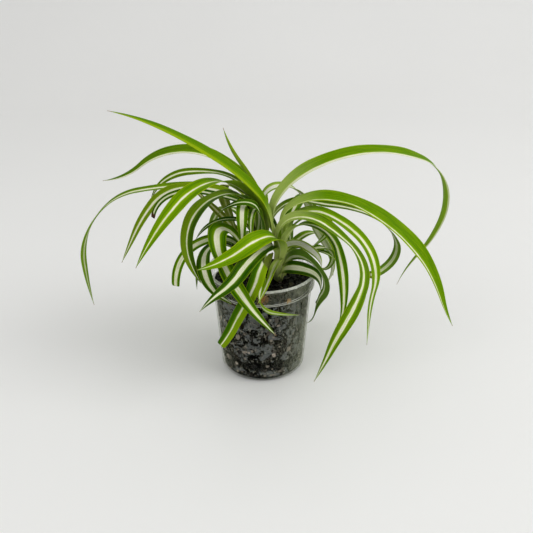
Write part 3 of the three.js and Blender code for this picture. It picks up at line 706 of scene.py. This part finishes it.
def blade(name, on, side, up, length, width, rise, turn, roll, finish, out=3.9, cut=False,
          stripe=0.2, lean=0.0, tilt=0.0, shade=0.0, root=0.18, dry=0.3):
    """One leaf. It starts at the height up, on one side of its crown in degrees, out millimetres
    from the crown's axis; rise, turn and roll list its angles from root to tip. Each row across
    the blade runs from margin to margin over the upper face and back under it; the margins
    stand (0.3 (1 - share)^1.2 + 0.06) of the half width above the midrib, along a rounded V,
    and ripple by a product of two sines.
    stripe is the cream share of the width, one number or one for each end, and none below 0.
    lean moves the stripe towards one margin, tilt lightens one half of the blade and darkens
    the other, shade lightens or darkens the green, root is the pale share of the length at the
    crown, and dry is how far the tip is brown."""
    seed = sum(map(ord, name)) % 97
    place, way, across, upward, share = blade_line(
        CROWNS[on], side, out, up, length, rise, turn, roll
    )
    half = blade_width(width, share, cut)[:, None] / 2
    u = np.linspace(-1, 1, HALF_COLUMNS)[None]
    s = share[:, None]
    fold = (FOLD_AT_ROOT * (1 - np.maximum(s, 0)) ** FOLD_POWER + FOLD_AT_TIP
            + CLASP * np.clip(-s * length / CLASP_LENGTH, 0, 1))
    vee = (np.sqrt(u**2 + VEE_ROUND) - math.sqrt(VEE_ROUND)) / (
        math.sqrt(1 + VEE_ROUND) - math.sqrt(VEE_ROUND)
    )
    ripple = (np.sin(s * length / SHORT_RIPPLE + seed)
              * np.sin(s * length / LONG_RIPPLE + 2 * seed) * RIPPLE)
    lift = fold * half * vee + ripple * np.sign(u) * np.abs(u) ** 3 * half
    skin = (BLADE_MARGIN + (BLADE_MIDDLE - BLADE_MARGIN) * (1 - u**2)) / 2
    skin = skin * np.clip(THIN_TIP + half / THICKENS_OVER, 0, 1)
    spread = half * u
    if cut:
        end = np.clip((s * length - length + CUT_ROUND) / CUT_ROUND, 0, 1)
        spread = spread * (1 - CUT_DRAWN_IN * end**2)
    rows = len(share)
    flat = place[:, None] + spread[..., None] * across[:, None]
    top = flat + (lift + skin)[..., None] * upward[:, None]
    low = flat + (lift - skin)[..., None] * upward[:, None]
    ring = np.concatenate([top, low[:, ::-1]], 1)
    wide = 2 * HALF_COLUMNS
    i, j = np.meshgrid(np.arange(rows - 1), np.arange(wide), indexing="ij")
    after = (j + 1) % wide
    sides = np.stack([i * wide + j, (i + 1) * wide + j,
                      (i + 1) * wide + after, i * wide + after], -1)
    j = np.arange(HALF_COLUMNS - 1)
    first = np.stack([j, j + 1, wide - 2 - j, wide - 1 - j], 1)
    last = (rows - 1) * wide + first[:, ::-1]
    faces = np.concatenate([sides.reshape(-1, 4), first, last]).tolist()
    numbers = {
        "across": np.concatenate([u, u[:, ::-1]], 1),
        "along": s,
        "run": s * length,
        "under": np.repeat([0.0, 1.0], HALF_COLUMNS),
        "stripe": np.interp(s, (0, 1), np.broadcast_to(stripe, 2)),
        "lean": lean,
        "tilt": tilt,
        "shade": shade,
        "root": root,
        "dry": dry,
        "seed": seed * 1.7,
    }
    numbers = {key: np.broadcast_to(value, (rows, wide)) for key, value in numbers.items()}
    piece(name.replace("leaf_", "blade_"), ring.reshape(-1, 3), faces, finish.material,
          finish.slot, name, **numbers)


LEAF_ROUGHNESS = 0.42
LEAF_RELIEF = 0.22 * MM
VEINS = 7
FINE_VEINS = 20
DRY_SHARE = 0.03
WANDER = 0.16
LIT_GREEN = colour(172, 200, 24)
DARK_GREEN = colour(10, 36, 1)
YOUNG_GREEN = colour(216, 231, 132)
DRY_TIP = colour(150, 118, 76)
DEAD_TIP = colour(66, 42, 28)


def leaf_finish(slot, green, deep, line, cream, under):
    """A blade's skin. The stripe is cream with fine green veins, with a light band on each side
    of it. The flanks go from green to deep green outwards, with fine lines and a thin pale
    margin. Over both lie the blade's tilt, a paler under side, a pale root and a dry tip."""
    skin = Finish(slot + "_skin", gloss=0.025)
    skin.slot = slot
    across = skin.number("across")
    along = skin.number("along")
    run = skin.number("run")
    seed = skin.number("seed")

    def lengthwise(lines, flow, detail):
        """Noise drawn out along the blade, with that many lines to half its width."""
        place = skin.vector(skin.maths("MULTIPLY", across, lines),
                            skin.maths("MULTIPLY", run, flow), seed)
        return skin.grain(place, 1.5, detail)

    veins = lengthwise(VEINS, 0.03, 3)
    fine = lengthwise(FINE_VEINS, 0.04, 2)
    cloud = lengthwise(1, 0.12, 3)

    # How far outside the stripe a point is, in half widths; the stripe's edge wanders a little
    side = skin.maths("ABSOLUTE", skin.maths("SUBTRACT", across, skin.number("lean")))
    wander = skin.maths("MULTIPLY_ADD", skin.maths("SUBTRACT", cloud, 0.5), WANDER, side)
    near = skin.maths("SUBTRACT", wander, skin.number("stripe"))
    margin = skin.maths("ABSOLUTE", across)
    # The flanks with their veins and fine lines, the light band beside the stripe, the margin
    # and the leaf's own shade, and then the stripe
    flank = skin.mix(skin.step(near, 0.03, 0.48), green, deep)
    flank = skin.mix(skin.step(veins, 0.42, 0.62, 0, 0.6), flank, green)
    flank = skin.mix(skin.step(veins, 0.40, 0.30, 0, 0.5), flank, deep)
    flank = skin.mix(skin.step(fine, 0.50, 0.68, 0, 0.45), flank, line)
    flank = skin.mix(skin.step(near, 0.0, 0.15, 0.95, 0.0), flank, line)
    flank = skin.mix(skin.step(margin, 0.88, 0.97, 0, 0.75), flank, line)
    shade = skin.number("shade")
    flank = skin.mix(skin.maths("MAXIMUM", shade, 0.0), flank, LIT_GREEN)
    darker = skin.maths("MAXIMUM", skin.maths("MULTIPLY", shade, -1), 0.0)
    flank = skin.mix(darker, flank, DARK_GREEN)
    stripe = skin.mix(skin.step(fine, 0.50, 0.64, 0, 0.65), cream, line)
    body = skin.mix(skin.step(near, -0.05, 0.04, 1.0, 0.0), flank, stripe)

    # The lighter and the darker half, the under side and the young root
    half = skin.maths("MULTIPLY", across, skin.number("tilt"))
    body = skin.mix(skin.step(half, 0.0, 0.12, 0.0, 0.6), body, line)
    body = skin.mix(skin.step(half, 0.0, -0.12, 0.0, 0.5), body, deep)
    body = skin.mix(skin.maths("MULTIPLY", skin.number("under"), 0.4), body, under)
    young = skin.step(skin.maths("DIVIDE", along, skin.number("root")), 0.0, 1.0, 0.85, 0.0)
    body = skin.mix(young, body, YOUNG_GREEN)

    # The dry tip, light brown where it is short and dark where more of it has died
    dry = skin.number("dry")
    withered = skin.maths("MULTIPLY_ADD", skin.maths("SUBTRACT", cloud, 0.5), 0.03, along)
    green_to = skin.maths("MULTIPLY_ADD", dry, -DRY_SHARE, 1.0)
    brown = skin.step(skin.maths("SUBTRACT", withered, green_to), -0.006, 0.010)
    dead = skin.mix(skin.step(dry, 0.9, 1.0), DRY_TIP, DEAD_TIP)
    body = skin.mix(brown, body, dead)
    skin.show(Base_Color=body, Roughness=skin.step(veins, 0.3, 0.7, LEAF_ROUGHNESS - 0.06,
                                                   LEAF_ROUGHNESS + 0.1))
    skin.relief(skin.maths("ADD", veins, skin.maths("MULTIPLY", fine, 0.5)), LEAF_RELIEF)
    return skin


bright = leaf_finish("leaf_bright", colour(116, 158, 0), colour(84, 128, 0), colour(166, 190, 14),
                     colour(244, 243, 220), colour(150, 184, 58))
mid = leaf_finish("leaf_mid", colour(88, 132, 0), colour(38, 86, 0), colour(146, 176, 14),
                  colour(241, 240, 214), colour(134, 168, 56))
dark = leaf_finish("leaf_dark", colour(56, 104, 0), colour(16, 58, 0), colour(130, 160, 24),
                   colour(239, 238, 212), colour(116, 150, 56))
pale = leaf_finish("leaf_pale", colour(150, 180, 50), colour(112, 150, 24), colour(196, 212, 118),
                   colour(250, 249, 238), colour(236, 240, 206))
olive = leaf_finish("leaf_olive", colour(126, 142, 34), colour(88, 106, 14), colour(172, 182, 84),
                    colour(226, 224, 188), colour(160, 170, 86))

blade("leaf_long_upper_left", "main", 180, 93.5, 127, 7.5,
      [85, 50, 35, 25, 10], [225, 180, 175], [-60, -20, -15],
      bright, stripe=-0.3, tilt=0.25, dry=0.8)
blade("leaf_upright_thin", "main", 150, 95, 67, 4.5,
      [70, 65, 55, 75], [165, 170, 170], [85, 55, 70],
      bright, stripe=-0.3, tilt=0.5, shade=0.2, dry=0.9)
blade("leaf_bright_front", "main", 285, 76.5, 79, 11,
      [70, 55, 5, -20, -10, 5], [280, 225, 215, 215], [-30, -15, -70, -35],
      bright, stripe=0.11, root=0.3)
blade("leaf_dark_front", "main", 240, 78, 82, 10,
      [85, 10, -5, -30, -15, -40], [255, 240, 230, 210], [-50, -5, -40, -30],
      dark, stripe=0.24, shade=-0.15)
blade("leaf_young_front", "main", 295, 75.5, 47, 6,
      [15, -10, 15, -35, -40], [245, 265, 225], [0, 40, 25],
      bright, stripe=0.33, shade=0.45, root=0.5)
blade("leaf_low_right_strand", "main", 10, 67, 83, 7,
      [90, 30, -10, -55, -120, -100, -145], [-40, -50, -15, -65], [-110, -60, -30],
      dark, stripe=(0.26, 0.12), lean=0.3, shade=-0.3)
blade("leaf_wide_over_rim", "main", 310, 67, 48, 9,
      [50, 25, 0, -25, -75, -90, -130], [-65, -5, 30], [60, 20, 15],
      dark, cut=True, stripe=0.38, shade=-0.3, dry=0.0)
blade("leaf_high_right", "main", 110, 89, 234, 9,
      [115, 60, 25, 5, -10, -25, -70, -110, -130, -110], [-10, 20, 15, 5], [45, 25, 20, -10, -5],
      bright, stripe=(0.45, 0.2), root=0.28, lean=-0.95, dry=0.5)
blade("leaf_broad_right", "main", 60, 93, 162, 11,
      [95, 30, -5, -25, -35, -45, -60, -70, -60], [-10, 0, -15, -30], [15, 15, 40, 30],
      bright, stripe=0.07, lean=-0.72, root=0.25)
blade("leaf_right_hanging", "main", 10, 84.5, 142, 9,
      [100, 40, -20, -40, -70, -100, -90, -90], [-15, -15, -15, 5], [25, 10, 35, 35],
      bright, stripe=(0.14, 0.3), root=0.28)
blade("leaf_twisted_front_right", "main", 255, 89, 149, 11,
      [85, 25, -25, -40, -45, -50, -65, -60], [-40, -30, -25, -120, -155, -160],
      [60, 10, -10, -75, -40, -25],
      mid, stripe=(0.08, 0.30), shade=0.1, root=0.28)
blade("leaf_right_drooping", "main", 310, 83.5, 104, 8.5,
      [75, 45, -20, -70, -80, -90, -110], [-50, -20, -35, -30], [-20, 10, 70],
      mid, stripe=(0.12, 0.3), root=0.3)

# Leaves of the left crown: long straps of the same green tissue with a cream stripe, grown out of
# this crown's sheaths. They arch out to the back and the left, over and behind the rest.
blade("leaf_back_left_arch", "left", 90, 92, 143, 8,
      [85, 30, 20, -10, -40, -5], [110, 165, 180], [5, -30, -50],
      mid, stripe=(0.1, 0.5), lean=0.95, shade=0.1)
blade("leaf_left_curling", "left", 100, 90, 101, 7,
      [40, 55, 30, 5, 0, -30, -75], [100, 155, 190, 215], [25, -5, -80],
      dark, stripe=(0.1, 0.22), shade=0.15)
blade("leaf_far_left", "left", 150, 83, 186, 8,
      [90, 25, 0, -5, -50, -90, -100], [135, 185, 205, 165], [-10, -5, 75],
      mid, stripe=0.22, shade=0.12)
blade("leaf_left_brown_tip", "left", 210, 80, 93, 6,
      [80, 80, 20, 15, -15, -80], [180, 190, 200], [-15, -15, -20],
      dark, cut=True, stripe=0.25, dry=1.0)
blade("leaf_left_middle", "left", 155, 86, 123, 9,
      [90, 45, 15, 0, -45, -60, -60], [155, 185, 205, 210], [-25, -15, -45],
      dark, stripe=0.22, shade=0.3)
blade("leaf_left_hooked", "left", 295, 93.5, 82, 8,
      [70, 45, 25, -20, -135, -155, -140], [145, 140, 115, 105], [20, 5, -5],
      olive, stripe=0.15)
blade("leaf_left_back_straight", "left", 165, 74, 62, 6,
      [20, 35, 40, 45], [130, 150, 175], [-10, -15, -30],
      olive, stripe=0.2)
blade("leaf_right_hook", "left", 0, 87, 144, 7.5,
      [90, 35, -15, -10, -20, -40, -65, -145, -195], [35, 5, 10, 40], [-10, 15, 5, -55],
      dark, cut=True, stripe=(0.15, 0.32), shade=0.1)
blade("leaf_back_1", "left", 120, 80.5, 102, 8,
      [35, 10, -25, -60, -80], [120, 120, 130], [-10, 15, 0],
      mid, out=3.3)
blade("leaf_back_2", "left", 80, 84, 112, 9,
      [45, 10, -20, -60, -80], [90, 95, 95], [-15, -5, 5],
      bright, out=3.3)
blade("leaf_back_5", "left", 130, 70, 84, 7.5,
      [20, 0, -40, -70, -90], [150, 140, 140], [0, 15, -10],
      dark, out=3.3)
blade("leaf_back_7", "left", 95, 72, 82, 7,
      [25, 0, -40, -75, -95], [100, 110, 105], [5, 5, -15],
      mid, out=3.3)

# Leaves of the fore crown: straps of the same kind, some of them cut or dry at the end, grown out
# of this crown's sheaths. They spill over the pot's rim at the left and in front.
blade("leaf_broad_left", "fore", 50, 85, 130, 11,
      [110, 60, 40, -5, -35, -50, -60], [175, 210, 220, 205], [0, 30, -35, -70],
      bright, stripe=0.12)
blade("leaf_left_loop", "fore", 115, 85.5, 121, 12,
      [110, 65, 25, -15, -70, -105, -120], [210, 225, 210, 230], [0, 5, -65],
      dark, stripe=0.11, shade=0.1, tilt=-0.3)
blade("leaf_thin_loop", "fore", 295, 81.5, 67, 4.5,
      [70, 85, 55, -25, -55], [280, 230, 120], [25, -65, 0],
      dark, stripe=0.14)
blade("leaf_low_dark_arch", "fore", 120, 75.5, 58, 5.5,
      [70, 75, 10, -15, -40], [135, 190, 235], [45, -10, -5],
      dark, stripe=0.12)
blade("leaf_hanging_left", "fore", 190, 78, 70, 8.5,
      [75, 85, 80, 60, -65, -90, -130], [220, 250, 295], [-35, -60, 45],
      mid, stripe=0.35)
blade("leaf_hanging_left_thin", "fore", 240, 82.5, 64, 5,
      [70, 115, 90, 5, -35, -130, -130], [195, 255, 280], [5, 10, 80],
      mid, stripe=0.28)
blade("leaf_old_sheath", "fore", 300, 64, 17, 9,
      [70, 75], [350, 350], [-30, -30],
      olive, cut=True, stripe=-0.3, root=0.9, dry=0.0, shade=0.5)
blade("leaf_looped_across_pot", "fore", 240, 73.5, 113, 11,
      [35, 70, 35, -65, -50, -30, -40, -50], [-165, -155, -45, -50, -5], [-15, -25, 15, 75],
      mid, stripe=0.3, dry=0.6)
blade("leaf_left_pot_side", "fore", 185, 68.5, 88, 9,
      [40, 60, 15, -30, -50, -30, -45], [-155, -155, -60, 30], [-30, 25, -5],
      dark, stripe=0.33, dry=3.0)
blade("leaf_cut_left", "fore", 185, 70, 75, 8,
      [60, 55, 10, -25, -60, -90], [190, 195, 200, 225], [-20, -15, -20],
      mid, cut=True, stripe=0.38, dry=0.0)

# Leaves of the low crown: a cut leaf and a small young one, of the same tissue, grown out of this
# crown's sheaths. They hang over the front of the pot.
blade("leaf_cut_front", "low", 210, 67.5, 81, 8.5,
      [70, 50, -65, -55, -65, -55], [320, 215, 170], [-95, -25, -70],
      mid, cut=True, stripe=(0.26, 0.1), dry=0.0, tilt=0.25)
blade("leaf_small_front", "low", 260, 63.5, 63, 4.5,
      [90, 55, -20, -55, -30, -10, 5], [-85, -85, -110, 15, -10], [-5, -65, -75],
      bright, stripe=0.3)

# Leaves of the back crown: curled straps at the right, two of them with a wide cream stripe, and
# the leaves behind. They grow out of this crown's sheaths.
blade("leaf_pale_underside", "back", 265, 72.5, 43, 6.5,
      [100, 25, -35, -50, -85], [-20, 5, 25], [105, 110, 100],
      pale, stripe=0.58)
blade("leaf_ring_curl", "back", 315, 67.5, 66, 6.5,
      [110, 20, -25, -5, -25, -65, -150, -250], [10, 40, 35], [-45, 15, -75],
      mid, stripe=0.3)
blade("leaf_right_folded_back", "back", 0, 81.5, 61, 6,
      [85, 45, 10, -15, -90, -150, -170], [15, 20, 25, 40], [-20, -40, -5],
      mid, stripe=0.3)
blade("leaf_back_right_pale", "back", 125, 84, 130, 8.5,
      [115, 120, 5, -55, -75, -55, -75, -140], [-45, 20, 15, 25], [55, -25, -55],
      pale, stripe=0.4)
blade("leaf_back_3", "back", 65, 81.5, 104, 8,
      [40, 15, -20, -60, -80], [70, 70, 65], [15, 10, 10],
      mid, out=3.3)
blade("leaf_back_4", "back", 95, 74, 88, 7,
      [30, 5, -30, -70, -80], [85, 80, 75], [5, -5, -10],
      dark, out=3.3)
blade("leaf_back_6", "back", 15, 69.5, 62, 6.5,
      [20, -5, -35, -70, -95], [20, 15, 20], [-15, 5, -10],
      mid, out=3.3)
blade("leaf_back_8", "back", 30, 71.5, 86, 7.5,
      [25, 0, -35, -70, -90], [55, 50, 45], [5, -5, -30],
      bright, out=3.5)
blade("leaf_back_9", "back", 115, 80, 84, 7,
      [35, 5, -35, -70, -90], [110, 105, 105], [-10, 10, 25],
      dark, out=3.3)

# Stage: a plain pale table with a faint gloss that runs up through a quarter circle into a plain
# pale backdrop, lit by a white room and two soft lamps. The backdrop stands well back, so that
# the plant can be seen from behind too. Its sizes are in metres.
STAGE_HALF = 2.5
STAGE_HEIGHT = 2.2
BACKDROP_AT = 1.3
COVE = 0.6
BELOW_POT = 0.0002
STAGE_COLUMNS = 21
FLOOR_ROWS = 20
COVE_ROWS = 13
WALL_ROWS = 10
ROOM_LIGHT = 0.585
across = np.linspace(-STAGE_HALF, STAGE_HALF, STAGE_COLUMNS)
cove = np.radians(np.linspace(-90, 0, COVE_ROWS))
run_y = np.concatenate([
    np.linspace(-STAGE_HALF, BACKDROP_AT - COVE - 0.01, FLOOR_ROWS),
    BACKDROP_AT - COVE + COVE * np.cos(cove),
    np.full(WALL_ROWS, BACKDROP_AT),
])
run_z = np.concatenate([
    np.zeros(FLOOR_ROWS),
    COVE + COVE * np.sin(cove),
    np.linspace(COVE + 0.02, STAGE_HEIGHT, WALL_ROWS),
])
stage_points = np.stack([
    np.repeat(across[:, None], len(run_y), 1),
    np.repeat(run_y[None], len(across), 0),
    np.repeat(run_z[None], len(across), 0) - BELOW_POT,
], 2).reshape(-1, 3) / MM
i, j = np.meshgrid(np.arange(len(across) - 1), np.arange(len(run_y) - 1), indexing="ij")
n = len(run_y)
stage_faces = np.stack([i * n + j, (i + 1) * n + j, (i + 1) * n + j + 1, i * n + j + 1], -1)
table = Finish("pale_table", gloss=0.35)
cloudy = table.step(table.grain(table.place(), 1.5, 2), 0.3, 0.7)
table.show(Base_Color=table.mix(cloudy, colour(240, 240, 238), colour(243, 243, 241)),
           Roughness=0.3)
piece("table", stage_points, stage_faces.reshape(-1, 4).tolist(), table.material, None)

world = bpy.data.worlds.new("white_room")
world.use_nodes = True
room = world.node_tree.nodes["Background"]
room.inputs["Color"].default_value = (1, 1, 1, 1)
room.inputs["Strength"].default_value = ROOM_LIGHT
bpy.context.scene.world = world


def lamp(name, at, towards, size, power):
    """A square soft lamp that faces a point, with its size in metres and its power in watts."""
    light = bpy.data.objects.new(name, bpy.data.lights.new(name, "AREA"))
    light.data.size = size
    light.data.energy = power
    back = np.array(at, float) - towards
    back /= np.linalg.norm(back)
    side = np.cross((0, 0, 1.0), back)
    side /= np.linalg.norm(side)
    light.matrix_world = standing(side, np.cross(back, side), back, at)
    bpy.context.scene.collection.objects.link(light)


lamp("window", (1.3, -0.4, 1.2), (0, 0, 0.08), size=1.1, power=13)
lamp("room", (-1.0, -0.7, 1.2), (0, 0, 0.05), size=0.9, power=4)
